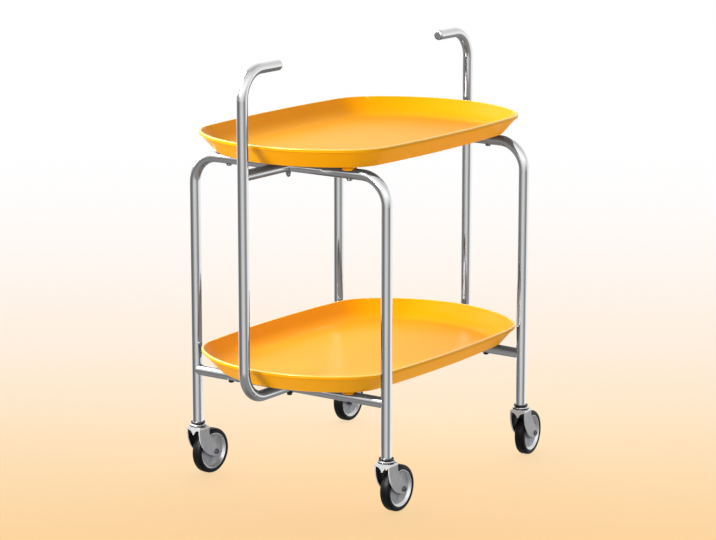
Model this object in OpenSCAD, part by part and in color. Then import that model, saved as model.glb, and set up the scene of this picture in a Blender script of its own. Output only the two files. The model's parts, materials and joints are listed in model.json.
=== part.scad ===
// Rolling side table: two moulded trays on bent tube frames, with four swivel castors.
// X runs across the trays, Y along them, Z up. The origin is on the floor, under the middle.

/* [Tube frames] */
// Outside diameter of every frame tube
tube_d = 18; // [14:0.5:20]
// Wall of the frame tubes
tube_wall = 1.2; // [0.8:0.1:2]
// Centre-line radius of every tube bend
bend_r = 46; // [36:1:56]
// Gap between the lower tray's rim and the legs beside it
leg_gap = 4.5; // [3:0.5:12]
// How far the leg frames stand in from the trays' ends
leg_in = 92.5; // [86:0.5:130]
// Height of the lower crossbars' centre line
lower_bar_z = 183; // [160:1:240]
// Height of the leg frames' top runs, at the centre line
top_run_z = 543.5; // [440:0.5:600]
// Gap between the trays' ends and the uprights of the handle frame
handle_gap = 17; // [8:1:40]
// Height of the hand grips' centre line
grip_z = 707.5; // [660:0.5:800]
// Length of a hand grip, from the upright's centre to the tip
grip_reach = 95; // [80:1:140]
// Height of the domed cap in a grip's end
cap_dome_h = 4; // [2:0.5:6]
// Length of the cap's plug in the tube
cap_plug_l = 12; // [6:1:20]

/* [Trays] */
// Width of a tray
tray_w = 379; // [340:1:420]
// Length of a tray
tray_l = 587; // [520:1:660]
// Height of a tray, from its underside to its rim
tray_h = 33; // [26:1:45]
// Radius of the rim's corners
corner_r = 90; // [75:1:110]
// Radius of the bowed ends
end_r = 228; // [205:1:300]
// Radius of the slightly bowed long sides
side_r = 1900; // [1200:50:2600]
// How far the base lies inside the rim
base_inset = 25.7; // [20:0.1:32]
// Thickness of the tray floor
floor_t = 3; // [2.5:0.5:4]
// Thickness of the sloping wall, measured level
wall_t = 4; // [3:0.5:5]
// Height of the lip's outer face
lip_h = 5.8; // [4:0.2:8]
// How far the lip stands out from the wall below it
lip_out = 2.5; // [1:0.5:3]
// Level thickness of the rim at its top
rim_t = 3.6; // [3.2:0.1:5]
// Radius of the lip's lower edge
lip_round = 0.8; // [0.4:0.1:0.9]
// Radius of the rim's outer edge
rim_round = 1.6; // [0.6:0.1:2]
// Radius of the rim's inner edge
rim_inner_round = 1.1; // [0.6:0.1:2]
// Radius where the floor meets the wall inside
inner_fillet = 40; // [10:1:48]
// Radius where the underside meets the wall outside
outer_fillet = 6; // [2:1:10]
// Diameter of the four bosses under a tray
boss_d = 24; // [18:1:26]
// Distance between a leg's centre and the boss next to it
boss_in = 71; // [69:1:110]
// How far a boss wraps down over its tube
boss_wrap = 3; // [1:0.5:5]

/* [Fasteners] */
// Shank of the tray screws
screw_d = 4.8; // [4:0.1:5.5]
// Head of the tray screws
screw_head_d = 9.5; // [8:0.5:12]
// Height of the tray screws' heads
screw_head_h = 2.8; // [2:0.2:4]
// Length of the slots in the tray screws' heads
screw_slot_l = 5.2; // [3:0.2:6.6]
// Width of those slots
screw_slot_w = 0.9; // [0.5:0.1:1.4]
// Depth of those slots
screw_slot_depth = 1.1; // [0.5:0.1:1.6]
// How far a tray screw bites into the tray's floor
screw_bite = 1.4; // [1:0.1:2]
// Shank of the bolts where two tubes cross
bolt_d = 5; // [4:0.5:6]
// Head of the crossing bolts
bolt_head_d = 11; // [9:0.5:14]
// Height of the crossing bolts' heads
bolt_head_h = 2.2; // [1.5:0.1:3]
// Gap between those heads and the underside of the tray above
head_gap = 1.3; // [0.5:0.1:6]
// Width across the flats of the nuts
nut_af = 8; // [7.5:0.5:10]
// Height of a nut's hexagon
nut_h = 4; // [3:0.5:6]
// How much smaller than the hexagon the dome of a cap nut is, all round
nut_step = 0.4; // [0.2:0.1:0.6]
// Height of a cap nut's straight neck, below its hexagon
nut_neck = 1.4; // [1:0.1:3]
// How far the lower bolts stand out of their nuts
bolt_tail = 1; // [0.5:0.5:6]
// Diameter of the washers under the lower nuts
washer_d = 14; // [11:0.5:16]
// Thickness of those washers
washer_t = 1.2; // [0.8:0.1:2]

/* [Wheels] */
// Diameter of the wheels
wheel_d = 76; // [60:1:100]
// Width of the tyres
tyre_w = 18; // [14:1:24]
// Radial thickness of the tyres
tyre_t = 8; // [5:0.5:10]
// Radius of the tyre's rounded shoulders
tyre_shoulder = 5; // [2:0.5:6]
// How far the hub's rim lies inside the tyre's sides
rim_inset = 1; // [0.5:0.5:3]
// Thickness of the hub's web
web_t = 8; // [5:0.5:10]
// Width of the bevelled ring between web and tyre
ring_w = 4.5; // [3:0.5:8]
// Diameter of the hub's boss
hub_d = 20; // [16:1:26]
// Draft of the boss, from its face to the web
hub_draft = 1.5; // [0.5:0.5:3]
// Outside diameter of the wheel's bush
bush_d = 10; // [9:0.5:12]
// Diameter of the axles
axle_d = 6; // [5:0.5:7]
// Head of an axle
axle_head_d = 9; // [9:0.5:13]
// Height of an axle's head, and of its nut
axle_head_h = 2.2; // [1.8:0.1:3]
// Width across the corners of the key socket in an axle's head
axle_key = 4.5; // [3:0.5:6]
// Depth of that socket
axle_key_depth = 1.3; // [0.8:0.1:1.6]

/* [Castor forks] */
// Distance from the stem's axis back to the axle
trail = 30; // [24:1:40]
// Gap between a tyre and the fork's legs
tyre_side_gap = 3; // [1.5:0.5:5]
// Space over the wheel, under the fork's crown
crown_clear = 8.2; // [4:0.1:12]
// Thickness of the fork's metal
fork_t = 2.5; // [2:0.1:3]
// Inner radius of the bend between crown and legs
fork_bend = 2.5; // [1:0.5:4]
// Radius of the fork's end round the axle
fork_end_r = 7.5; // [7:0.5:11]
// How far the crown reaches in front of the ring of balls
crown_front = 2.3; // [2:0.1:9]
// How far the crown reaches behind the ring of balls
crown_back = 1.8; // [0.5:0.1:4]
// Height of the upright part of the fork's front edge
nose_h = 8.5; // [4:0.5:14]
// Height of the upright part of its back edge
heel_h = 14; // [6:0.5:18]
// How far the fork's front skirt reaches below the crown's top, beside the legs
skirt_h = 5.5; // [4:0.5:8]
// How far the skirt's middle tongue reaches below the crown's top
tongue_h = 14; // [10:0.5:16]
// Width of the tongue at its tip
tongue_w = 3; // [2:0.5:6]

/* [Castor stems] */
// Diameter of the castor's stem in its socket
stem_d = 10; // [9:0.5:11]
// Length of the stem in its socket
stem_l = 30; // [22:1:40]
// Thickness of the socket's flange under the tube
flange_t = 2; // [1.5:0.1:3]
// Diameter of that flange
flange_d = 24; // [21:1:28]
// Length of the socket in the tube
socket_l = 35; // [28:1:45]
// Diameter of the raceway cup above the fork
race_d = 28; // [26:1:30]
// Diameter of the cup's top
race_top_d = 20; // [16:1:24]
// Height of the cup
race_h = 5; // [5:0.1:9]
// Height of the cup's upright side
race_side_h = 3; // [3:0.1:4.5]
// Thickness of that side
race_wall = 2; // [1:0.1:3]
// Radius of the cup's edges
race_round = 1.6; // [0.5:0.1:2]
// Diameter of the bearing balls
ball_d = 3; // [2.5:0.1:3.2]
// Number of balls in a castor's bearing
ball_count = 12; // [8:1:16]
// Diameter of the kingpin on which the fork turns
kingpin_d = 8; // [7:0.5:9]
// Diameter of the kingpin's lower head
kingpin_head_d = 15; // [12:0.5:18]
// Height of the kingpin's lower head
kingpin_head_h = 2; // [1.5:0.1:3]

/* [Castor directions] */
// Turn of the front left castor
turn_front_left = -3; // [-20:1:20]
// Turn of the front right castor
turn_front_right = 0; // [-20:1:20]
// Turn of the rear left castor
turn_rear_left = 2; // [-20:1:20]
// Turn of the rear right castor
turn_rear_right = 7; // [-20:1:20]

/* [Fits] */
// Clearance all round a part that is pressed or screwed in
press_gap = 0.05; // [0.02:0.01:0.1]
// Radial clearance of a shaft in its hole, and of the balls in their raceway
run_gap = 0.05; // [0.02:0.01:0.1]
// Clearance between faces that move past each other
free_gap = 0.3; // [0.2:0.05:0.6]
// Radial clearance of a bolt or screw in the tubes that it goes through
bolt_gap = 0.15; // [0.05:0.05:0.4]

/* [Hidden] */
$fn = 64;
// Segments of the tray's arcs: its corners and ends, and its long sides
arc_fn = 120;
side_fn = 900;
// How far a cut runs past the face that it opens
over = 1;

tube_r = tube_d / 2;
bore_d = tube_d - 2 * tube_wall;
boss_h = bolt_head_h + head_gap;
upper_tray_z = top_run_z + tube_r + boss_h;
lower_tray_z = lower_bar_z + tube_r + boss_h;

// The rim's outline is a chain of arcs: side, corner, end. A corner arc touches both others.
side_c = [tray_w / 2 - side_r, 0];
end_c = [0, tray_l / 2 - end_r];
corner_c = let(
    a = end_r - corner_r,
    b = side_r - corner_r,
    d = norm(side_c - end_c),
    u = (side_c - end_c) / d,
    m = (a * a - b * b + d * d) / (2 * d),
    h = sqrt(a * a - m * m))
    end_c + m * u + h * [u.y, -u.x];
side_a = atan2(corner_c.y - side_c.y, corner_c.x - side_c.x);
end_a = atan2(corner_c.y - end_c.y, corner_c.x - end_c.x);
// Flat length left at the inner end of the wall's section, and how far the floor plate laps over it
seam_run = 8;
floor_lap = 6;
// Share of its radius that the inner fillet takes up along the floor
fillet_share = 0.4;
// Level distances inward from the rim, at which the wall's section ends and the floor plate ends
seam_in = base_inset + wall_t + seam_run + fillet_share * inner_fillet;
plate_in = seam_in - floor_lap;
// Least flat left on a tyre beside its rounded shoulders
shoulder_land = 1;

// The legs stand at the lower tray's corners, leg_gap clear of its rim
leg_y = tray_l / 2 - leg_in;
leg_r = corner_r + leg_gap + tube_r;
leg_x = corner_c.x + sqrt(leg_r * leg_r - (leg_y - corner_c.y) * (leg_y - corner_c.y));
boss_x = leg_x - boss_in;
handle_y = tray_l / 2 + handle_gap + tube_r;
tip_y = handle_y - grip_reach + cap_dome_h;

// Heights in a castor
axle_z = wheel_d / 2;
crown_z = wheel_d + crown_clear + fork_t;
seat_z = crown_z + free_gap;
race_z = seat_z + race_h;
foot_z = race_z + flange_t;
pin_z = crown_z - fork_t - free_gap - kingpin_head_h;
// Widths in a castor
fork_gap = tyre_w + 2 * tyre_side_gap;
fork_w = fork_gap + 2 * fork_t;
hub_w = fork_gap - 2 * free_gap;
groove_r = race_d / 2 - race_wall;
ball_ring_r = groove_r - ball_d / 2 - free_gap;

corners = ["front_left", "front_right", "rear_left", "rear_right"];
corner_xy = [[-leg_x, -leg_y], [leg_x, -leg_y], [-leg_x, leg_y], [leg_x, leg_y]];
corner_turn = [turn_front_left, turn_front_right, turn_rear_left, turn_rear_right];
castor_parts = ["socket", "stem", "bearing", "fork", "axle", "axle_nut", "hub", "bush", "tyre"];

// Points of an arc round [cx, cy], from angle a0 to a1
function arc(cx, cy, r, a0, a1, n) =
    [for (i = [0 : n]) let(a = a0 + (a1 - a0) * i / n) [cx + r * cos(a), cy + r * sin(a)]];
// Points that round the corner q between the points p and s with radius r
function round_corner(p, q, s, r, n) =
    let(u = (p - q) / norm(p - q),
        v = (s - q) / norm(s - q),
        half = acos(u * v) / 2,
        c = q + (u + v) / norm(u + v) * r / sin(half),
        t0 = q + u * r / tan(half) - c,
        t1 = q + v * r / tan(half) - c,
        a0 = atan2(t0.y, t0.x),
        turn = atan2(t0.x * t1.y - t0.y * t1.x, t0 * t1))
    arc(c.x, c.y, r, a0, a0 + turn, n);
// Half the section of a round head or cap: width d, height h, and its edge rounded to radius r
function dome(d, h, r) = concat([[0, 0], [d / 2, 0]], arc(d / 2 - r, h - r, r, 0, 90, 8), [[0, h]]);

// A round rod along the flat path p, with each inner corner bent to the radius bend_r
module bent_rod(p, d) {
    last = len(p) - 1;
    dirs = [for (i = [0 : last - 1]) (p[i + 1] - p[i]) / norm(p[i + 1] - p[i])];
    turns = [for (i = [1 : last - 1])
        atan2(dirs[i - 1].x * dirs[i].y - dirs[i - 1].y * dirs[i].x, dirs[i - 1] * dirs[i])];
    cuts = concat([0], [for (t = turns) bend_r * tan(abs(t) / 2)], [0]);
    for (i = [0 : last - 1]) {
        start = p[i] + dirs[i] * cuts[i];
        length = norm(p[i + 1] - p[i]) - cuts[i] - cuts[i + 1];
        translate([start.x, start.y, 0]) rotate([0, 0, atan2(dirs[i].y, dirs[i].x)])
            rotate([0, 90, 0]) cylinder(d = d, h = length);
    }
    for (i = [1 : last - 1]) {
        turn = turns[i - 1];
        start = p[i] - dirs[i - 1] * cuts[i];
        centre = start + sign(turn) * bend_r * [-dirs[i - 1].y, dirs[i - 1].x];
        a0 = atan2(start.y - centre.y, start.x - centre.x);
        translate([centre.x, centre.y, 0]) rotate([0, 0, min(a0, a0 + turn)])
            rotate_extrude(angle = abs(turn)) translate([bend_r, 0]) circle(d = d);
    }
}

// A hollow tube along the same kind of path, open at both ends
module bent_tube(p) {
    difference() {
        bent_rod(p, tube_d);
        bent_rod(p, bore_d);
    }
}

// The flat paths lie in XY, and these stand them up: across the table, and along it
module across() { rotate([90, 0, 0]) children(); }
module along() { rotate([90, 0, 90]) children(); }

module rod_x(l, d) { rotate([0, 90, 0]) cylinder(d = d, h = l, center = true); }
module rod_y(l, d) { rotate([90, 0, 0]) cylinder(d = d, h = l, center = true); }

// Where two tubes cross, each is pressed to half its height and solid there. Side 1 keeps the
// upper half of a tube along X, side -1 the lower half of a tube along Y.
lap_l = tube_d + 2 * bolt_gap;
lap_core_l = lap_l + 2 * tube_wall;
module lap_cut(side) {
    translate([0, 0, -side * tube_r]) cube([lap_l, lap_l, tube_d + press_gap], center = true);
}
module lap_core(side) {
    intersection() {
        if (side > 0) rod_x(lap_core_l, tube_d - tube_wall);
        else rod_y(lap_core_l, tube_d - tube_wall);
        translate([0, 0, side * (tube_r + press_gap / 2)])
            cube([lap_core_l, lap_core_l, tube_d], center = true);
    }
}
module bolt_hole() { cylinder(d = bolt_d + 2 * bolt_gap, h = 2 * tube_d, center = true); }
// Cuts a half-lap, its bolt hole and a solid core into the tube given as the child
module lapped(side, z) {
    difference() {
        union() {
            difference() {
                children();
                translate([0, 0, z]) lap_cut(side);
            }
            translate([0, 0, z]) lap_core(side);
        }
        translate([0, 0, z]) bolt_hole();
    }
}
// Makes both half-laps of a tube that runs along the table
module lapped_twice(z) {
    translate([0, leg_y, 0]) lapped(-1, z)
        translate([0, -2 * leg_y, 0]) lapped(-1, z)
            translate([0, leg_y, 0]) children();
}
// Holes for the tray screws through a tube that runs across the table
module screw_holes() {
    for (x = [-boss_x, boss_x]) translate([x, 0, 0])
        cylinder(d = screw_d + 2 * bolt_gap, h = 2 * tube_d, center = true);
}

module leg_frame() {
    path = [[-leg_x, foot_z], [-leg_x, top_run_z], [leg_x, top_run_z], [leg_x, foot_z]];
    color("gainsboro") difference() {
        lapped(1, top_run_z) across() bent_tube(path);
        translate([0, 0, top_run_z]) screw_holes();
    }
}
// A straight tube, shaped at its ends to fit round the legs
module crossbar() {
    color("gainsboro") difference() {
        lapped(1, lower_bar_z) translate([0, 0, lower_bar_z]) difference() {
            rod_x(2 * leg_x, tube_d);
            rod_x(2 * leg_x + over, bore_d);
        }
        for (x = [-leg_x, leg_x]) translate([x, 0, lower_bar_z])
            cylinder(d = tube_d, h = 2 * tube_d, center = true);
        translate([0, 0, lower_bar_z]) screw_holes();
    }
}
module handle_frame() {
    path = [[-tip_y, grip_z], [-handle_y, grip_z], [-handle_y, lower_bar_z],
            [handle_y, lower_bar_z], [handle_y, grip_z], [tip_y, grip_z]];
    color("gainsboro") lapped_twice(lower_bar_z) along() bent_tube(path);
}
// A straight tube between the uprights of the handle frame, shaped at its ends to fit them
module handle_bar() {
    color("gainsboro") difference() {
        lapped_twice(top_run_z) translate([0, 0, top_run_z]) difference() {
            rod_y(2 * handle_y, tube_d);
            rod_y(2 * handle_y + over, bore_d);
        }
        for (y = [-handle_y, handle_y]) translate([0, y, top_run_z])
            cylinder(d = tube_d, h = 2 * tube_d, center = true);
    }
}
// Domed plugs that close the ends of the hand grips
module grip_caps() {
    color("silver") for (s = [-1, 1]) translate([0, s * tip_y, grip_z]) rotate([90 * s, 0, 0]) {
        rotate_extrude() polygon(dome(tube_d, cap_dome_h, cap_dome_h));
        translate([0, 0, -cap_plug_l]) cylinder(d = bore_d - 2 * press_gap, h = cap_plug_l);
    }
}

// The tray wall's section: X is the distance out from the rim, so most of it is negative
function wall_section() =
    let(lip_z = tray_h - lip_h,
        under = [-lip_out, lip_z],
        lip = [0, lip_z],
        heel = [-base_inset, 0],
        lean = (base_inset - lip_out) / lip_z,
        toe = [-base_inset + floor_t * lean - wall_t, floor_t],
        top_in = [-rim_t, tray_h],
        top_out = [0, tray_h])
    concat([[-seam_in, 0]],
        round_corner([-seam_in, 0], heel, under, outer_fillet, 6),
        [under],
        round_corner(under, lip, top_out, lip_round, 3),
        round_corner(lip, top_out, top_in, rim_round, 5),
        round_corner(top_out, top_in, toe, rim_inner_round, 4),
        round_corner(top_in, toe, [-seam_in, floor_t], inner_fillet, 8),
        [[-seam_in, floor_t]]);
module wall_arc(centre, r, a0, a1, fn) {
    translate([centre.x, centre.y, 0])
        rotate_extrude(start = a0, angle = a1 - a0, $fn = fn)
            translate([r, 0]) polygon(wall_section());
}
// The flat floor. Its outline lies on the flat inner part of the wall's section, and none of its
// points is on a seam between two of the wall's arcs.
module tray_floor() {
    function inner_arc(c, r, a0, a1, n) =
        let(half_step = (a1 - a0) / n / 2)
        arc(c.x, c.y, r - plate_in, a0 + half_step, a1 - half_step, n - 1);
    quarter = concat(
        inner_arc(side_c, side_r, 0, side_a, 3),
        inner_arc(corner_c, corner_r, side_a, end_a, 12),
        inner_arc(end_c, end_r, end_a, 90, 5));
    half = concat(quarter, [for (i = [len(quarter) - 1 : -1 : 0]) [-quarter[i].x, quarter[i].y]]);
    linear_extrude(height = floor_t) polygon(concat(half, -half));
}
// The underside of the tray is at the height z, on four bosses that sit on the tubes
module tray(z) {
    tube_z = z - boss_h - tube_r;
    color("gold") difference() {
        union() {
            translate([0, 0, z]) {
                tray_floor();
                for (k = [0, 1]) rotate([0, 0, 180 * k]) {
                    wall_arc(side_c, side_r, -side_a, side_a, side_fn);
                    wall_arc(end_c, end_r, end_a, 180 - end_a, arc_fn);
                    wall_arc(corner_c, corner_r, side_a, end_a, arc_fn);
                    mirror([0, 1, 0]) wall_arc(corner_c, corner_r, side_a, end_a, arc_fn);
                }
            }
            for (x = [-boss_x, boss_x], y = [-leg_y, leg_y])
                translate([x, y, z - boss_h - boss_wrap])
                    cylinder(d = boss_d, h = boss_h + boss_wrap + floor_t / 2);
        }
        for (y = [-leg_y, leg_y]) {
            translate([0, y, tube_z]) rod_x(2 * leg_x, tube_d + 2 * press_gap);
            for (x = [-boss_x, boss_x]) translate([x, y, tube_z])
                cylinder(d = screw_d + 2 * press_gap, h = tube_r + boss_h + screw_bite + press_gap);
        }
    }
}

// Round-headed screws from below, through the tube at the height z into the tray's bosses
module tray_screws(z) {
    color("dimgray") for (x = [-boss_x, boss_x], y = [-leg_y, leg_y])
        translate([x, y, z - tube_r]) difference() {
            union() {
                rotate([180, 0, 0])
                    rotate_extrude() polygon(dome(screw_head_d, screw_head_h, screw_head_h * 2 / 3));
                cylinder(d = screw_d, h = tube_d + boss_h + screw_bite);
            }
            for (a = [0, 90]) translate([0, 0, -screw_head_h]) rotate([0, 0, a])
                cube([screw_slot_l, screw_slot_w, 2 * screw_slot_depth], center = true);
        }
}
// Bolts down through both tubes of a crossing at the height z, reaching tail below the tubes
module crossing_bolts(z, tail) {
    color("silver") for (y = [-leg_y, leg_y]) translate([0, y, z]) {
        translate([0, 0, tube_r])
            rotate_extrude() polygon(dome(bolt_head_d, bolt_head_h, bolt_head_h));
        translate([0, 0, -tube_r - tail]) cylinder(d = bolt_d, h = tube_d + tail);
    }
}
module hexagon(af, h) { cylinder(d = af / cos(30), h = h, $fn = 6); }
// Cap nuts under the upper crossings
module upper_nuts() {
    dome_r = nut_af / 2 - nut_step;
    color("silver") for (y = [-leg_y, leg_y])
        translate([0, y, top_run_z - tube_r - nut_h]) difference() {
            union() {
                hexagon(nut_af, nut_h);
                translate([0, 0, -nut_neck]) cylinder(r = dome_r, h = nut_neck);
                translate([0, 0, -nut_neck]) sphere(r = dome_r);
            }
            translate([0, 0, -over]) cylinder(d = bolt_d + 2 * press_gap, h = nut_h + 2 * over);
        }
}
module lower_washers() {
    color("dimgray") for (y = [-leg_y, leg_y])
        translate([0, y, lower_bar_z - tube_r - washer_t]) difference() {
            cylinder(d = washer_d, h = washer_t);
            translate([0, 0, -over]) cylinder(d = bolt_d + 2 * bolt_gap, h = washer_t + 2 * over);
        }
}
module lower_nuts() {
    color("dimgray") for (y = [-leg_y, leg_y])
        translate([0, y, lower_bar_z - tube_r - washer_t - nut_h]) difference() {
            hexagon(nut_af, nut_h);
            translate([0, 0, -over]) cylinder(d = bolt_d + 2 * press_gap, h = nut_h + 2 * over);
        }
}

// Castors. Each is drawn with its stem on the Z axis and its wheel trailing towards +Y.
module at_axle() { translate([0, trail, axle_z]) rotate([0, 90, 0]) children(); }

// Sleeve pressed into the tube's end, with a flange under it
module socket() {
    color("#202020") difference() {
        union() {
            translate([0, 0, race_z]) cylinder(d = flange_d, h = flange_t);
            translate([0, 0, race_z])
                cylinder(d = bore_d - 2 * press_gap, h = flange_t + socket_l);
        }
        translate([0, 0, race_z - over])
            cylinder(d = stem_d + 2 * press_gap, h = flange_t + socket_l + 2 * over);
    }
}
// Fixed stem with the upper raceway cup, the kingpin and its riveted head under the fork
module stem() {
    rim = [race_d / 2, 0];
    shoulder = [race_d / 2, race_side_h];
    top = [race_top_d / 2, race_h];
    groove_h = ball_d + 2 * run_gap - free_gap;
    color("silver") {
        difference() {
            translate([0, 0, seat_z]) rotate_extrude() polygon(concat([[0, 0], rim],
                round_corner(rim, shoulder, top, race_round, 5),
                round_corner(shoulder, top, [0, race_h], race_round, 4), [[0, race_h]]));
            translate([0, 0, seat_z - over]) difference() {
                cylinder(r = groove_r, h = groove_h + over);
                cylinder(d = kingpin_d, h = groove_h + over);
            }
        }
        translate([0, 0, race_z]) cylinder(d = stem_d, h = stem_l);
        translate([0, 0, pin_z]) cylinder(d = kingpin_d, h = race_z - pin_z);
        translate([0, 0, pin_z]) cylinder(d = kingpin_head_d, h = kingpin_head_h);
    }
}
// Ring of balls between the cup and the fork's crown
module bearing() {
    color("gray") for (i = [0 : ball_count - 1]) rotate([0, 0, 360 * i / ball_count])
        translate([ball_ring_r, 0, crown_z + run_gap + ball_d / 2]) sphere(d = ball_d);
}

// The channel that the fork is cut from: a bar of width w with its upper edges rounded
module channel(w, top, r) {
    difference() {
        translate([-w / 2, 0]) square([w, top]);
        for (s = [0, 1]) mirror([s, 0]) translate([w / 2 - r, top - r]) difference() {
            square(r + over);
            circle(r = r);
        }
    }
}
// The fork's outline from the side. Its front edge is an arc that starts upright at the crown
// and touches the round end. Its back edge runs straight to touch the same round end.
module fork_side() {
    nose = [-ball_ring_r - crown_front, crown_z - nose_h];
    heel = [ball_ring_r + crown_back, crown_z - heel_h];
    axle_c = [trail, axle_z];
    a = trail - nose.x;
    b = nose.y - axle_z;
    front_r = (a * a + b * b - fork_end_r * fork_end_r) / (2 * (a - fork_end_r));
    to_heel = heel - axle_c;
    touch_a = atan2(to_heel.y, to_heel.x) - acos(fork_end_r / norm(to_heel));
    touch = axle_c + fork_end_r * [cos(touch_a), sin(touch_a)];
    intersection() {
        union() {
            translate([nose.x + front_r, nose.y]) circle(r = front_r, $fn = 128);
            translate(nose) square([heel.x - nose.x, nose_h]);
        }
        polygon([[nose.x, crown_z], [heel.x, crown_z], heel, touch, axle_c,
            [trail, 0], [nose.x, 0]]);
    }
    translate(axle_c) circle(r = fork_end_r);
}
// The front skirt that joins the fork's legs below the crown, with a tongue in its middle
module skirt() {
    half_w = fork_gap / 2 + fork_t / 4;
    tip = tongue_w / 2;
    flank = [for (i = [0 : 8]) let(a = 90 * i / 8)
        [half_w - (half_w - tip) * cos(a), crown_z - tongue_h + (tongue_h - skirt_h) * sin(a)]];
    half = concat(flank, [[half_w, crown_z - fork_t / 2]]);
    translate([0, fork_t - ball_ring_r - crown_front, 0]) rotate([90, 0, 0])
        linear_extrude(height = fork_t)
            polygon(concat(half, [for (i = [len(half) - 1 : -1 : 0]) [-half[i].x, half[i].y]]));
}
// Pressed fork: the channel, cut to the side outline, with holes for kingpin and axle
module fork() {
    color("#9a9ca0") difference() {
        union() {
            intersection() {
                translate([0, 2 * trail, 0]) rotate([90, 0, 0])
                    linear_extrude(height = 4 * trail) difference() {
                        channel(fork_w, crown_z, fork_bend + fork_t);
                        channel(fork_gap, crown_z - fork_t, fork_bend);
                    }
                translate([-fork_w, 0, 0]) rotate([90, 0, 90])
                    linear_extrude(height = 2 * fork_w) fork_side();
            }
            skirt();
        }
        translate([0, 0, crown_z - fork_t - over])
            cylinder(d = kingpin_d + 2 * run_gap, h = fork_t + 2 * over);
        at_axle() cylinder(d = axle_d + 2 * press_gap, h = 2 * fork_w, center = true);
    }
}
// Axle with a rounded head on the castor's right and a key socket in it
module axle() {
    color("#38383a") at_axle() {
        translate([0, 0, -fork_w / 2 - axle_head_h]) cylinder(d = axle_d, h = fork_w + axle_head_h);
        translate([0, 0, fork_w / 2]) difference() {
            rotate_extrude() polygon(dome(axle_head_d, axle_head_h, axle_head_h / 2));
            translate([0, 0, axle_head_h - axle_key_depth])
                cylinder(d = axle_key, h = axle_head_h, $fn = 6);
        }
    }
}
module axle_nut() {
    color("#38383a") at_axle() translate([0, 0, -fork_w / 2 - axle_head_h]) difference() {
        cylinder(d = axle_head_d, h = axle_head_h, $fn = 6);
        translate([0, 0, -over]) cylinder(d = axle_d + 2 * press_gap, h = axle_head_h + 2 * over);
    }
}
// Wheel centre with a recessed web, a bevelled bright ring and a hub boss
module hub() {
    rim_r = axle_z - tyre_t;
    rim_w = tyre_w - 2 * rim_inset;
    bore_r = bush_d / 2 + press_gap;
    half = [[bore_r, hub_w / 2], [hub_d / 2, hub_w / 2], [hub_d / 2 + hub_draft, web_t / 2],
        [rim_r - ring_w, web_t / 2], [rim_r, rim_w / 2]];
    other_half = [for (i = [len(half) - 1 : -1 : 0]) [half[i].x, -half[i].y]];
    color("#8e9095") at_axle() rotate_extrude() polygon(concat(half, other_half));
}
module bush() {
    color("ivory") at_axle() difference() {
        cylinder(d = bush_d, h = hub_w, center = true);
        cylinder(d = axle_d + 2 * run_gap, h = hub_w + 2 * over, center = true);
    }
}
module tyre() {
    inner = axle_z - tyre_t + press_gap;
    half = tyre_w / 2;
    shoulder = min(tyre_shoulder, tyre_t - shoulder_land, half - shoulder_land);
    color("#181818") at_axle() rotate_extrude() polygon(concat([[inner, -half], [inner, half]],
        round_corner([inner, half], [axle_z, half], [axle_z, 0], shoulder, 8),
        round_corner([axle_z, 0], [axle_z, -half], [inner, -half], shoulder, 8)));
}
module castor_part(i, part) {
    translate([corner_xy[i].x, corner_xy[i].y, 0]) rotate([0, 0, corner_turn[i]]) {
        if (part == "socket") socket();
        if (part == "stem") stem();
        if (part == "bearing") bearing();
        if (part == "fork") fork();
        if (part == "axle") axle();
        if (part == "axle_nut") axle_nut();
        if (part == "hub") hub();
        if (part == "bush") bush();
        if (part == "tyre") tyre();
    }
}

translate([0, -leg_y, 0]) leg_frame();  // front_leg_frame
translate([0, leg_y, 0]) leg_frame();  // rear_leg_frame
translate([0, -leg_y, 0]) crossbar();  // front_crossbar
translate([0, leg_y, 0]) crossbar();  // rear_crossbar
handle_frame();
handle_bar();
grip_caps();
tray(upper_tray_z);  // upper_tray
tray(lower_tray_z);  // lower_tray
tray_screws(top_run_z);  // upper_tray_screws
tray_screws(lower_bar_z);  // lower_tray_screws
crossing_bolts(top_run_z, nut_h);  // upper_crossing_bolts
upper_nuts();  // upper_crossing_nuts
crossing_bolts(lower_bar_z, washer_t + nut_h + bolt_tail);  // lower_crossing_bolts
lower_washers();  // lower_crossing_washers
lower_nuts();  // lower_crossing_nuts
for (i = [0 : 3], part = castor_parts)
    castor_part(i, part);
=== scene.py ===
import json
import math

import bpy
from mathutils import Matrix, Vector


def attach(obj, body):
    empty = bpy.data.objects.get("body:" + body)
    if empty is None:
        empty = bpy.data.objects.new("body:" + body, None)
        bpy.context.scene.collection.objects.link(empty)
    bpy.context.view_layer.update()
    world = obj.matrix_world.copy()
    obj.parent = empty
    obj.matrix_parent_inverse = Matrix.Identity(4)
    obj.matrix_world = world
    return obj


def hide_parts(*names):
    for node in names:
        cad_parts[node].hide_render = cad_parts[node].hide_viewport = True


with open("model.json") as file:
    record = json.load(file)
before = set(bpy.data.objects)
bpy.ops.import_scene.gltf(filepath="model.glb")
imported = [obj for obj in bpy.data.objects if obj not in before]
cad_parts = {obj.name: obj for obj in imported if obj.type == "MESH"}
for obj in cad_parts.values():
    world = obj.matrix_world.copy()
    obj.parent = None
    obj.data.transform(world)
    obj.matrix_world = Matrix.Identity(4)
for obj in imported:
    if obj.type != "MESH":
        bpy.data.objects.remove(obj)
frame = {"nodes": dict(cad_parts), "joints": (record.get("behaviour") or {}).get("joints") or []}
nodes = frame["nodes"]
joints = {j["name"]: j for j in frame["joints"]}
corners = ("front_left", "front_right", "rear_left", "rear_right")
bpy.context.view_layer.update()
print("frame loaded,", len(nodes), "nodes")


# camera, at the photograph's viewing angle

cameraLook = {
    "azimuth": 35.231,      # degrees, seen from above, 0 looks along +Y
    "elevation": 12.141,
    "distance": 4.49869,    # metres from the point looked at
    "target": (-0.006823, 0.0, 0.33808),
    "lens": 136.05,         # millimetres
    "sensor": 36.0,         # its width in millimetres
    "sees": 200.0,          # how far it sees, in metres
}


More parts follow.
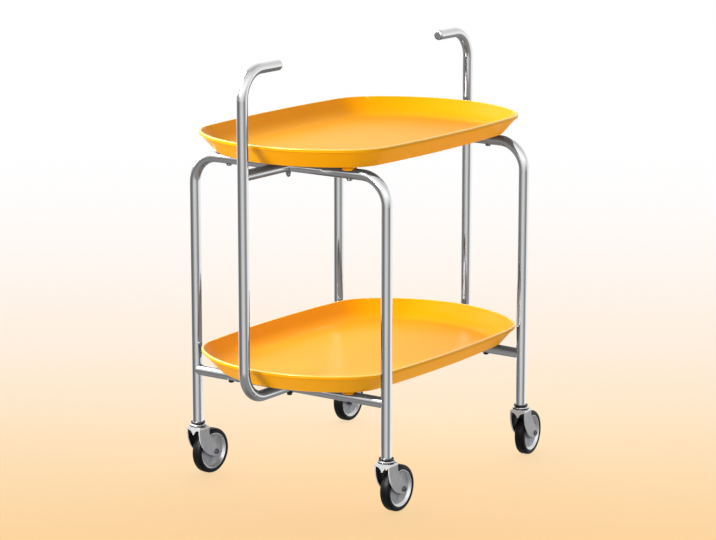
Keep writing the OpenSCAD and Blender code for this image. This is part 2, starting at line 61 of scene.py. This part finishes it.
def directionFrom(azimuth, elevation):
    # unit vector from the table towards that side
    a, e = math.radians(azimuth), math.radians(elevation)
    return Vector((math.sin(a) * math.cos(e), -math.cos(a) * math.cos(e), math.sin(e)))


def makeCamera(look):
    data = bpy.data.cameras.new("cameraMain")
    data.sensor_width = look["sensor"]
    data.lens = look["lens"]
    data.clip_end = look["sees"]
    camera = bpy.data.objects.new("cameraMain", data)
    bpy.context.scene.collection.objects.link(camera)
    back = directionFrom(look["azimuth"], look["elevation"])
    camera.location = Vector(look["target"]) + back * look["distance"]
    camera.rotation_mode = "QUATERNION"
    camera.rotation_quaternion = (-back).to_track_quat("-Z", "Y")
    bpy.context.scene.camera = camera
    return camera


makeCamera(cameraLook)
print("camera placed")


# materials

def startMaterial(name):
    mat = bpy.data.materials.new(name)
    mat.use_nodes = True
    return mat, mat.node_tree, mat.node_tree.nodes["Principled BSDF"]


def setInputs(node, values):
    for key, value in values.items():
        node.inputs[key].default_value = value


def objectCoords(tree, stretch=(1, 1, 1)):
    coords = tree.nodes.new("ShaderNodeTexCoord")
    mapping = tree.nodes.new("ShaderNodeMapping")
    mapping.inputs["Scale"].default_value = stretch
    tree.links.new(coords.outputs["Object"], mapping.inputs["Vector"])
    return mapping.outputs["Vector"]


def noise(tree, scale, detail=2.0, stretch=(1, 1, 1), rough=0.5):
    tex = tree.nodes.new("ShaderNodeTexNoise")
    setInputs(tex, {"Scale": scale, "Detail": detail, "Roughness": rough})
    tree.links.new(objectCoords(tree, stretch), tex.inputs["Vector"])
    return tex.outputs["Fac"]


def remap(tree, source, low, high, fromLow=0.3, fromHigh=0.7):
    node = tree.nodes.new("ShaderNodeMapRange")
    setInputs(node, {"From Min": fromLow, "From Max": fromHigh, "To Min": low, "To Max": high})
    tree.links.new(source, node.inputs["Value"])
    return node.outputs["Result"]


def ramp(tree, source, stops):
    node = tree.nodes.new("ShaderNodeValToRGB")
    elements = node.color_ramp.elements
    while len(elements) < len(stops):
        elements.new(0.5)
    for element, (place, colour) in zip(elements, stops):
        element.position = place
        element.color = (*colour, 1)
    tree.links.new(source, node.inputs["Fac"])
    return node.outputs["Color"]


def bump(tree, bsdf, heights):
    # heights is a list of (socket, distance in metres, strength), laid over one another
    last = None
    for source, distance, strength in heights:
        node = tree.nodes.new("ShaderNodeBump")
        setInputs(node, {"Distance": distance, "Strength": strength})
        tree.links.new(source, node.inputs["Height"])
        if last:
            tree.links.new(last, node.inputs["Normal"])
        last = node.outputs["Normal"]
    tree.links.new(last, bsdf.inputs["Normal"])


def mixed(tree, factor, first, second, blend="MIX"):
    node = tree.nodes.new("ShaderNodeMix")
    node.data_type = "RGBA"
    node.blend_type = blend
    for socket, value in ((node.inputs[0], factor), (node.inputs[6], first), (node.inputs[7], second)):
        if isinstance(value, (tuple, float)):
            socket.default_value = (*value, 1) if isinstance(value, tuple) else value
        else:
            tree.links.new(value, socket)
    return node.outputs[2]


def metalMaterial(name, light, dark, roughness, grain=400.0, metal=1.0, drift=14.0, dent=0.00002):
    # plated or bare metal: the tone and the gloss drift a little, and a fine grain lies over it
    mat, tree, bsdf = startMaterial(name)
    setInputs(bsdf, {"Metallic": metal, "IOR": 1.5})
    fine = noise(tree, grain, 4.0)
    wide = noise(tree, drift, 3.0)
    tree.links.new(ramp(tree, wide, [(0.3, dark), (0.7, light)]), bsdf.inputs["Base Color"])
    tree.links.new(remap(tree, fine, *roughness), bsdf.inputs["Roughness"])
    bump(tree, bsdf, [(fine, dent, 0.3)])
    return mat


chromeLook = {
    "light": (0.90, 0.90, 0.905),
    "dark": (0.82, 0.825, 0.835),
    "speck": (0.55, 0.55, 0.56),
    "roughness": (0.035, 0.085),
    "waveScale": 9.0,
    "speckScale": 260.0,
    "waves": 0.0002,        # how far the tube's face wanders, in metres
    "pits": 0.00001,        # depth of its fine marks
}


def chromeMaterial(look):
    # bright plating on drawn tube: faint long waves, polishing marks and a few dull specks
    mat, tree, bsdf = startMaterial("tubeChrome")
    setInputs(bsdf, {"Metallic": 1.0, "IOR": 1.5})
    wide = noise(tree, look["waveScale"], 2.0)
    specks = noise(tree, look["speckScale"], 5.0, rough=0.65)
    tint = mixed(tree, remap(tree, specks, 0.0, 1.0, 0.62, 0.8), look["light"], look["speck"])
    soft = mixed(tree, remap(tree, wide, 0.0, 0.6), tint, look["dark"])
    tree.links.new(soft, bsdf.inputs["Base Color"])
    tree.links.new(remap(tree, specks, *look["roughness"]), bsdf.inputs["Roughness"])
    bump(tree, bsdf, [(wide, look["waves"], 0.25), (specks, look["pits"], 0.15)])
    return mat


trayLook = {
    "gloss": 1.13,          # index of refraction of the skin
    "colour": (0.86, 0.352, 0.003),
    "deeper": (0.84, 0.336, 0.002),
    "paintedReflection": (0.11, 0.105, 0.10),    # painted reflection: the dark neutral tone that chrome shows in place of the tray
    "roughness": (0.26, 0.34),
    "driftScale": 5.0,
    "skinScale": 520.0,
    "grain": 0.000006,      # height of the skin's grain in metres
}
# the same plastic, glossier round the rim and painted paler there as a painted highlight, down to a depth
# in metres
rimLook = {**trayLook, "gloss": 2.0, "colour": (0.95, 0.54, 0.05), "deeper": (0.93, 0.52, 0.04),
           "roughness": (0.18, 0.24), "depth": 0.0017}


def trayMaterial(name, look):
    # moulded plastic: even colour that drifts slightly, a satin skin with a very fine grain
    mat, tree, bsdf = startMaterial(name)
    setInputs(bsdf, {"IOR": look["gloss"]})
    drift = noise(tree, look["driftScale"], 3.0)
    skin = noise(tree, look["skinScale"], 2.0)
    own = ramp(tree, drift, [(0.3, look["deeper"]), (0.7, look["colour"])])
    # painted reflection: rays coming off glossy surfaces see the dark neutral tone, not the tray's own
    # colour
    path = tree.nodes.new("ShaderNodeLightPath")
    tree.links.new(mixed(tree, path.outputs["Is Glossy Ray"], own, look["paintedReflection"]),
                   bsdf.inputs["Base Color"])
    tree.links.new(remap(tree, drift, *look["roughness"], 0.0, 1.0), bsdf.inputs["Roughness"])
    bump(tree, bsdf, [(skin, look["grain"], 0.3)])
    return mat


def plasticMaterial(name, light, dark, roughness, grain=900.0, drift=60.0, dent=0.00004):
    # moulded plastic of the small parts
    mat, tree, bsdf = startMaterial(name)
    setInputs(bsdf, {"IOR": 1.5})
    fine = noise(tree, grain, 4.0)
    wide = noise(tree, drift, 3.0)
    tree.links.new(ramp(tree, wide, [(0.3, dark), (0.7, light)]), bsdf.inputs["Base Color"])
    tree.links.new(remap(tree, fine, *roughness), bsdf.inputs["Roughness"])
    bump(tree, bsdf, [(fine, dent, 0.4)])
    return mat


forkLook = {
    "satin": (0.47, 0.465, 0.475),
    "streaks": 0.78,        # the darkest brush mark's share of that
    "roughness": (0.36, 0.46),
    "brushScale": 700.0,
    "brushStretch": (1.0, 1.0, 0.04),
    "cloudScale": 45.0,
    "sideways": 0.97,       # faces that look this much sideways are the legs' satin ones
}


def forkMaterial(look):
    # pressed steel with fine upright brush marks
    mat, tree, bsdf = startMaterial("forkSatin")
    setInputs(bsdf, {"Metallic": 1.0, "IOR": 1.5})
    brush = noise(tree, look["brushScale"], 3.0, look["brushStretch"])
    wide = noise(tree, look["cloudScale"], 3.0)
    darker = tuple(look["streaks"] * c for c in look["satin"])
    tree.links.new(mixed(tree, remap(tree, brush, 0.0, 1.0), darker, look["satin"]),
                   bsdf.inputs["Base Color"])
    tree.links.new(remap(tree, wide, *look["roughness"]), bsdf.inputs["Roughness"])
    bump(tree, bsdf, [(brush, 0.00003, 0.35), (wide, 0.0001, 0.1)])
    return mat


webLook = {
    # tones of the mottling, from its darkest to its lightest clouds
    "clouds": [(0.3, (0.22, 0.228, 0.245)), (0.55, (0.34, 0.35, 0.37)), (0.72, (0.50, 0.51, 0.53))],
    "roughness": (0.30, 0.48),
    "metal": 0.75,
    "cloudScale": 130.0,
    "grainScale": 900.0,
}


def hubMaterial(look):
    # grey web with cloudy mottling, as cast zinc shows
    mat, tree, bsdf = startMaterial("hubGrey")
    setInputs(bsdf, {"Metallic": look["metal"], "IOR": 1.5})
    clouds = noise(tree, look["cloudScale"], 5.0, rough=0.6)
    fine = noise(tree, look["grainScale"], 2.0)
    tree.links.new(ramp(tree, clouds, look["clouds"]), bsdf.inputs["Base Color"])
    tree.links.new(remap(tree, clouds, *look["roughness"]), bsdf.inputs["Roughness"])
    bump(tree, bsdf, [(clouds, 0.0002, 0.2), (fine, 0.00003, 0.2)])
    return mat


rubberLook = {
    "clean": (0.004, 0.004, 0.0045),
    "dusty": (0.012, 0.0115, 0.011),
    "roughness": (0.28, 0.46),
    "gloss": 1.26,          # index of refraction
    "coat": 0.05,
    "dustScale": 40.0,
    "grainScale": 700.0,
}


def rubberMaterial(look):
    # smooth black rubber with a slight gloss and a trace of dust
    mat, tree, bsdf = startMaterial("tyreRubber")
    setInputs(bsdf, {"IOR": look["gloss"], "Coat Weight": look["coat"], "Coat Roughness": 0.2})
    fine = noise(tree, look["grainScale"], 5.0)
    dust = noise(tree, look["dustScale"], 4.0)
    tree.links.new(ramp(tree, dust, [(0.4, look["clean"]), (0.8, look["dusty"])]),
                   bsdf.inputs["Base Color"])
    tree.links.new(remap(tree, dust, *look["roughness"]), bsdf.inputs["Roughness"])
    bump(tree, bsdf, [(fine, 0.00006, 0.35)])
    return mat


# lightest and darkest tone, and the range of roughness
metals = {
    # painted highlight: the fork's crown, bends and front skirt take this near-white tone
    "crownPaintedHighlight": ((0.98, 0.98, 0.985), (0.92, 0.92, 0.93), (0.34, 0.42)),
    # painted shade: the inner faces of the fork legs take this dark tone
    "forkInsidePaintedShade": ((0.13, 0.13, 0.135), (0.07, 0.07, 0.075), (0.35, 0.5)),
    "ringBright": ((0.95, 0.95, 0.955), (0.86, 0.86, 0.87), (0.26, 0.36)),
    "platedBright": ((0.88, 0.88, 0.885), (0.74, 0.745, 0.755), (0.08, 0.17)),
    "platedDull": ((0.5, 0.5, 0.51), (0.3, 0.3, 0.31), (0.22, 0.36)),
    "ballSteel": ((0.42, 0.41, 0.4), (0.2, 0.19, 0.18), (0.2, 0.35)),
    # painted shade: the screws, washers and nuts under the lower tray take this dark tone, where those
    # above are plated
    "steelPaintedShade": ((0.09, 0.09, 0.095), (0.03, 0.03, 0.032), (0.3, 0.5)),
    "axleGrey": ((0.20, 0.21, 0.215), (0.12, 0.125, 0.13), (0.34, 0.46)),
}
# grain and metal where they aren't the usual ones
metalChanges = {
    "crownPaintedHighlight": {"metal": 0.7}, "ballSteel": {"grain": 150.0},
    "steelPaintedShade": {"grain": 300.0}, "axleGrey": {"grain": 300.0},
}
plastics = {
    "blackPlastic": ((0.02, 0.02, 0.021), (0.01, 0.01, 0.011), (0.3, 0.45)),
    "ivoryPlastic": ((0.72, 0.68, 0.56), (0.6, 0.56, 0.44), (0.35, 0.5)),
}

finishes = {
    "tubeChrome": chromeMaterial(chromeLook),
    "trayPlastic": trayMaterial("trayPlastic", trayLook),
    "trayRimPaintedHighlight": trayMaterial("trayRimPaintedHighlight", rimLook),
    "forkSatin": forkMaterial(forkLook),
    "hubGrey": hubMaterial(webLook),
    "tyreRubber": rubberMaterial(rubberLook),
}
for name, tones in metals.items():
    finishes[name] = metalMaterial(name, *tones, **metalChanges.get(name, {}))
for name, tones in plastics.items():
    finishes[name] = plasticMaterial(name, *tones)
print("materials made,", len(finishes))


# the carried-over nodes and their finishes

nodeFinish = {
    "front_leg_frame": "tubeChrome", "rear_leg_frame": "tubeChrome",
    "front_crossbar": "tubeChrome", "rear_crossbar": "tubeChrome",
    "handle_frame": "tubeChrome", "handle_bar": "tubeChrome", "grip_caps": "platedBright",
    "upper_tray": "trayPlastic", "lower_tray": "trayPlastic",
    # the lower tray's screws, washers and nuts get a dark painted shade, the upper ones are plated
    "upper_tray_screws": "platedDull", "lower_tray_screws": "steelPaintedShade",
    "upper_crossing_bolts": "platedDull", "upper_crossing_nuts": "platedDull",
    "lower_crossing_bolts": "platedDull", "lower_crossing_washers": "steelPaintedShade",
    "lower_crossing_nuts": "steelPaintedShade",
}
castorFinish = {
    "socket": "blackPlastic", "stem": "platedBright", "bearing": "ballSteel", "fork": "forkSatin",
    "axle": "axleGrey", "axle_nut": "axleGrey", "hub": "hubGrey", "bush": "ivoryPlastic",
    "tyre": "tyreRubber",
}
for corner in corners:
    for part, finish in castorFinish.items():
        nodeFinish[f"{corner}_{part}"] = finish

edgeLook = {
    # how far the sharp edges of each part are broken, in metres
    "widths": {"fork": 0.0004, "socket": 0.0004, "axle": 0.0003, "axle_nut": 0.0003},
    "steps": 2,
    "sharp": 35,            # degrees, a blunter edge is left alone
    "weld": 0.000002,       # metres, points nearer than this are one
}


def dressNode(name, finish):
    node = nodes[name]
    node.data.materials.clear()
    node.data.materials.append(finishes[finish])
    for polygon in node.data.polygons:
        polygon.material_index = 0


def softenEdges(name, width, look):
    # a small round on every sharp edge of the node
    node = nodes[name]
    weld = node.modifiers.new("weldSeams", "WELD")
    weld.merge_threshold = look["weld"]
    round_ = node.modifiers.new("breakEdges", "BEVEL")
    round_.width = width
    round_.segments = look["steps"]
    round_.limit_method = "ANGLE"
    round_.angle_limit = math.radians(look["sharp"])
    round_.harden_normals = True


def dressRim(name, depth):
    # the glossier rim, painted paler as a painted highlight, reaches this far down from the tray's top
    tray = nodes[name]
    tray.data.materials.append(finishes["trayRimPaintedHighlight"])
    top = max(vertex.co.z for vertex in tray.data.vertices)
    for polygon in tray.data.polygons:
        polygon.material_index = int(polygon.center.z > top - depth)


def dressFork(corner):
    # the crown, its bends and the front skirt get a near-white painted highlight, the legs are satin
    # outside and get a dark painted shade inside
    fork = nodes[corner + "_fork"]
    for finish in ("crownPaintedHighlight", "forkInsidePaintedShade"):
        fork.data.materials.append(finishes[finish])
    axle, middle = (Vector(joints[corner + "_roll"][key]) for key in ("axis", "pos_m"))
    for polygon in fork.data.polygons:
        sideways = polygon.normal.dot(axle)
        if abs(sideways) < forkLook["sideways"]:
            polygon.material_index = 1
        elif sideways * (polygon.center - middle).dot(axle) < 0:
            polygon.material_index = 2


cupShadeLook = {
    "side": (0.0869, 0.0889),   # the black painted shade on the cup's upright side lies between these heights
    "radius": 0.0125,           # and further than this from the stem's axis
}


def paintCupShade(corner, look):
    # the raceway cup is bright above; its upright side gets a black painted shade
    stem = nodes[corner + "_stem"]
    stem.data.materials.append(finishes["blackPlastic"])
    middle = Vector(joints[corner + "_swivel"]["pos_m"])
    for polygon in stem.data.polygons:
        spot = polygon.center - middle
        inShadeBand = look["side"][0] < polygon.center.z < look["side"][1]
        polygon.material_index = int(inShadeBand and math.hypot(spot.x, spot.y) > look["radius"])


for name, finish in nodeFinish.items():
    dressNode(name, finish)
for name in ("upper_tray", "lower_tray"):
    dressRim(name, rimLook["depth"])
for corner in corners:
    dressFork(corner)
    paintCupShade(corner, cupShadeLook)
    for part, width in edgeLook["widths"].items():
        softenEdges(f"{corner}_{part}", width, edgeLook)
print("nodes dressed,", len(nodeFinish))


# wheels: turned pieces about their own axle

def roundedPath(points, radii, steps=5):
    # the points with each corner rounded to its radius, all in millimetres
    path = []
    count = len(points)
    for i in range(count):
        p, q, s = (Vector(points[(i + k) % count]) for k in (-1, 0, 1))
        radius = radii[i]
        if radius <= 0:
            path.append(tuple(q))
            continue
        u, v = (p - q).normalized(), (s - q).normalized()
        half = u.angle(v) / 2
        centre = q + (u + v).normalized() * (radius / math.sin(half))
        start, end = q + u * radius / math.tan(half) - centre, q + v * radius / math.tan(half) - centre
        turn = math.atan2(start.x * end.y - start.y * end.x, start.dot(end))
        for k in range(steps + 1):
            a = turn * k / steps
            path.append((centre.x + start.x * math.cos(a) - start.y * math.sin(a),
                         centre.y + start.x * math.sin(a) + start.y * math.cos(a)))
    return path


def turnedMesh(name, path, segments):
    # the closed path (radius, height) in millimetres, turned about Z
    rings = len(path)
    verts, faces = [], []
    for i in range(segments):
        a = 2 * math.pi * i / segments
        verts += [(r * math.cos(a) / 1000, r * math.sin(a) / 1000, h / 1000) for r, h in path]
    for i in range(segments):
        j = (i + 1) % segments
        for k in range(rings):
            m = (k + 1) % rings
            faces.append((i * rings + k, j * rings + k, j * rings + m, i * rings + m))
    mesh = bpy.data.meshes.new(name)
    mesh.from_pydata(verts, [], faces)
    mesh.update()
    mesh.shade_smooth()
    return mesh


def closedHalf(points, radii):
    # a half profile and its mirror image below
    return (points + [(r, -h) for r, h in reversed(points)], radii + list(reversed(radii)))


# sizes of the turned pieces in millimetres, heights measured from the wheel's middle plane
tyreLook = {
    "inner": 30.05, "outer": 38.0, "halfWidth": 9.0, "shoulder": 5.0,
    "chamfer": 0.9,
    "groove": (1.3, 1.6, 1.9),          # its edge, bottom and edge, outwards from the inner radius
    "grooveDepth": 0.25,
    "seam": 0.08,                       # height of the fine line round the tread
    "seamFoot": 0.5, "seamTop": 0.2,    # half its width, below and on top
    "rounds": [0.3, 0.3, 0.1, 0.1, 0.1],    # of the edges from the bore to the groove
    "segments": 128,
}


def tyreMesh(look):
    w, r0, r1 = look["halfWidth"], look["inner"], look["outer"]
    tread = r1 - look["seam"]
    grooveIn, grooveMid, grooveOut = (r0 + reach for reach in look["groove"])
    points = [(r0, w - look["chamfer"]), (r0 + look["chamfer"], w),
              (grooveIn, w), (grooveMid, w - look["grooveDepth"]), (grooveOut, w),
              (tread, w), (tread, look["seamFoot"]), (r1, look["seamTop"])]
    radii = look["rounds"] + [look["shoulder"], 0, 0]
    return turnedMesh("tyre", roundedPath(*closedHalf(points, radii)), look["segments"])


hubLook = {
    "bore": 5.05, "boss": 10.0, "bossFoot": 11.5, "bossHalf": 11.7, "webHalf": 4.0,
    "ringInner": 25.5, "ringOuter": 30.0, "ringHalf": 8.0,
    "ringFace": 0.7,        # width of the ring's flat outer face
    "ringStart": 0.3,       # the bright finish begins this far outside the web
    "rounds": [0.3, 1.0, 1.5, 0.6, 0.4, 0.2],   # of the edges from the bore outwards
    "segments": 128,
}


def hubMesh(look):
    points = [(look["bore"], look["bossHalf"]), (look["boss"], look["bossHalf"]),
              (look["bossFoot"], look["webHalf"]), (look["ringInner"], look["webHalf"]),
              (look["ringOuter"] - look["ringFace"], look["ringHalf"]),
              (look["ringOuter"], look["ringHalf"])]
    mesh = turnedMesh("hub", roundedPath(*closedHalf(points, look["rounds"])), look["segments"])
    mesh.materials.append(finishes["hubGrey"])
    mesh.materials.append(finishes["ringBright"])
    for polygon in mesh.polygons:
        reach = math.hypot(polygon.center.x, polygon.center.y) * 1000
        polygon.material_index = int(reach > look["ringInner"] + look["ringStart"])
    return mesh


def placeOnAxle(name, mesh, corner):
    joint = joints[corner + "_roll"]
    piece = bpy.data.objects.new(name, mesh)
    bpy.context.scene.collection.objects.link(piece)
    turn = Vector(joint["axis"]).to_track_quat("Z", "Y").to_matrix().to_4x4()
    piece.matrix_world = Matrix.Translation(Vector(joint["pos_m"])) @ turn
    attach(piece, corner + "_wheel")
    return piece


tyreShared = tyreMesh(tyreLook)
tyreShared.materials.append(finishes["tyreRubber"])
hubShared = hubMesh(hubLook)
for corner in corners:
    tyre = placeOnAxle(f"{corner}_tyre_turned", tyreShared, corner)
    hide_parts(corner + "_tyre")
    hub = placeOnAxle(f"{corner}_hub_turned", hubShared, corner)
    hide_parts(corner + "_hub")
print("wheels turned")


# stage: pale floor, soft lights and the studio's walls as the chrome sees them

stageLook = {
    "floorSize": 80.0,
    "floorGlow": 0.85,      # light of its own, so that the pale floor stays pale
    "floorShade": 0.25,     # how much of the room's light it takes up besides
    # its tint, by the distance in metres behind the table, deepest just before it
    "floorTints": [(-3.1, (1.0, 1.0, 1.0)), (-2.45, (1.0, 0.985, 0.975)), (-1.6, (1.0, 0.93, 0.86)),
                   (-1.0, (0.995, 0.84, 0.68)), (-0.65, (0.99, 0.74, 0.47)), (-0.42, (0.99, 0.68, 0.36)),
                   (-0.4, (0.99, 0.68, 0.355)), (0.0, (0.985, 0.742, 0.462)), (0.4, (0.99, 0.81, 0.595)),
                   (0.85, (0.995, 0.865, 0.73)), (1.5, (1.0, 0.925, 0.86)), (2.45, (1.0, 0.985, 0.98)),
                   (3.1, (1.0, 1.0, 1.0))],
}
# even light of the room: the side that it comes from and its strength
roomLook = {
    "below": ((0, 0, -1), 1.14),
    "right": (tuple(directionFrom(cameraLook["azimuth"] + 90, 0)), 0.68),
    "behind": (tuple(directionFrom(cameraLook["azimuth"] + 180, 0)), 2.10),
}
lampAim = Vector((0, 0, 0.4))
lampLook = {
    # azimuth and elevation in degrees, distance and size in metres, power in watts
    "lightKey": (-7.0, 20.0, 3.0, 1.0, 82.0),
    "lightFill": (-82.0, 27.0, 3.0, 2.4, 57.0),
    "lightHigh": (-40.0, 40.0, 3.0, 1.5, 71.0),
}


def makeFloor(look):
    half = look["floorSize"] / 2
    mesh = bpy.data.meshes.new("floor")
    mesh.from_pydata([(-half, -half, 0), (half, -half, 0), (half, half, 0), (-half, half, 0)], [],
                     [(0, 1, 2, 3)])
    floor = bpy.data.objects.new("floor", mesh)
    bpy.context.scene.collection.objects.link(floor)
    mat, tree, bsdf = startMaterial("floorPale")
    setInputs(bsdf, {"Roughness": 0.9, "Specular IOR Level": 0.0, "Emission Strength": look["floorGlow"]})
    coords = tree.nodes.new("ShaderNodeTexCoord")
    behind = tree.nodes.new("ShaderNodeVectorMath")
    behind.operation = "DOT_PRODUCT"
    behind.inputs[1].default_value = directionFrom(cameraLook["azimuth"] + 180, 0)
    tree.links.new(coords.outputs["Object"], behind.inputs[0])
    near, far = look["floorTints"][0][0], look["floorTints"][-1][0]
    place = remap(tree, behind.outputs["Value"], 0.0, 1.0, near, far)
    tint = ramp(tree, place, [((d - near) / (far - near), colour) for d, colour in look["floorTints"]])
    tree.links.new(mixed(tree, look["floorShade"], (0.0, 0.0, 0.0), tint), bsdf.inputs["Base Color"])
    tree.links.new(tint, bsdf.inputs["Emission Color"])
    mesh.materials.append(mat)
    floor.visible_glossy = False
    floor.visible_diffuse = False
    floor.visible_shadow = False
    return floor


def areaLight(name, spared, azimuth, elevation, distance, size, power):
    # a round soft light that doesn't reach what the collection spared leaves out
    data = bpy.data.lights.new(name, "AREA")
    data.shape = "DISK"
    data.size = size
    data.energy = power
    light = bpy.data.objects.new(name, data)
    bpy.context.scene.collection.objects.link(light)
    away = directionFrom(azimuth, elevation)
    light.location = lampAim + away * distance
    light.rotation_mode = "QUATERNION"
    light.rotation_quaternion = (-away).to_track_quat("-Z", "Y")
    light.light_linking.receiver_collection = spared
    return light


# the studio round the table as the chrome shows it. Places are degrees to the right of the camera,
# seen from the table, or the sine of the angle above the horizon, each with its brightness
studioLook = {
    "walls": [(-180, 1.0), (-138, 1.0), (-122, 0.40), (-108, 0.18), (-84, 0.15), (-62, 0.19), (-44, 0.36),
              (-28, 0.60), (-8, 0.71), (12, 0.60), (28, 0.40), (42, 0.25), (56, 0.23), (68, 0.38),
              (82, 0.78), (100, 0.95), (180, 1.0)],
    "sky": [(-180, 1.1), (-120, 0.7), (-80, 0.8), (-45, 1.2), (0, 1.2), (45, 1.1), (80, 0.8), (120, 0.7),
            (180, 1.1)],
    "heights": [(-1.0, 0.5), (-0.8, 0.9), (-0.28, 1.0), (0.4, 1.0), (0.6, 0.9), (0.85, 0.7), (1.0, 0.6)],
    "ground": 0.27,                 # well below the horizon, the same on all sides
    "groundEnds": (-0.42, -0.28),   # it gives way to the walls between these heights
    "skyStarts": (-0.16, 0.36),     # and the walls to the sky between these
}


def makeWorld(lobes, look):
    world = bpy.data.worlds.new("studio")
    bpy.context.scene.world = world
    world.use_nodes = True
    tree = world.node_tree
    back = tree.nodes["Background"]
    coords = tree.nodes.new("ShaderNodeTexCoord")

    def along(direction):
        node = tree.nodes.new("ShaderNodeVectorMath")
        node.operation = "DOT_PRODUCT"
        node.inputs[1].default_value = direction
        tree.links.new(coords.outputs["Generated"], node.inputs[0])
        return node.outputs["Value"]

    def greys(source, bands, reach):
        return ramp(tree, source, [((place + reach) / (2 * reach), (v, v, v)) for place, v in bands])

    front = directionFrom(cameraLook["azimuth"], 0)
    angle = tree.nodes.new("ShaderNodeMath")
    angle.operation = "ARCTAN2"
    tree.links.new(along((-front.y, front.x, 0)), angle.inputs[0])
    tree.links.new(along(tuple(front)), angle.inputs[1])
    turn = remap(tree, angle.outputs[0], 0.0, 1.0, -math.pi, math.pi)
    height = along((0, 0, 1))
    around = mixed(tree, remap(tree, height, 0.0, 1.0, *look["skyStarts"]),
                   greys(turn, look["walls"], 180), greys(turn, look["sky"], 180))
    around = mixed(tree, remap(tree, height, 1.0, 0.0, *look["groundEnds"]), around, (look["ground"],) * 3)
    around = mixed(tree, 1.0, around,
                   greys(remap(tree, height, 0.0, 1.0, -1.0, 1.0), look["heights"], 1), "MULTIPLY")
    total = None
    for side, strength in lobes.values():
        lobe = remap(tree, along(side), 0.0, strength, 0.0, 1.0)
        if total:
            add = tree.nodes.new("ShaderNodeMath")
            tree.links.new(total, add.inputs[0])
            tree.links.new(lobe, add.inputs[1])
            lobe = add.outputs[0]
        total = lobe
    path = tree.nodes.new("ShaderNodeLightPath")
    tree.links.new(mixed(tree, path.outputs["Is Glossy Ray"], total, around), back.inputs["Color"])
    back.inputs["Strength"].default_value = 1.0


floor = makeFloor(stageLook)
spared = bpy.data.collections.new("sparedByLamps")
spared.objects.link(floor)
spared.collection_objects[0].light_linking.link_state = "EXCLUDE"
for name, settings in lampLook.items():
    areaLight(name, spared, *settings)
makeWorld(roomLook, studioLook)
bpy.context.scene.view_settings.view_transform = "Standard"
bpy.context.scene.view_settings.look = "None"
print("stage lit")
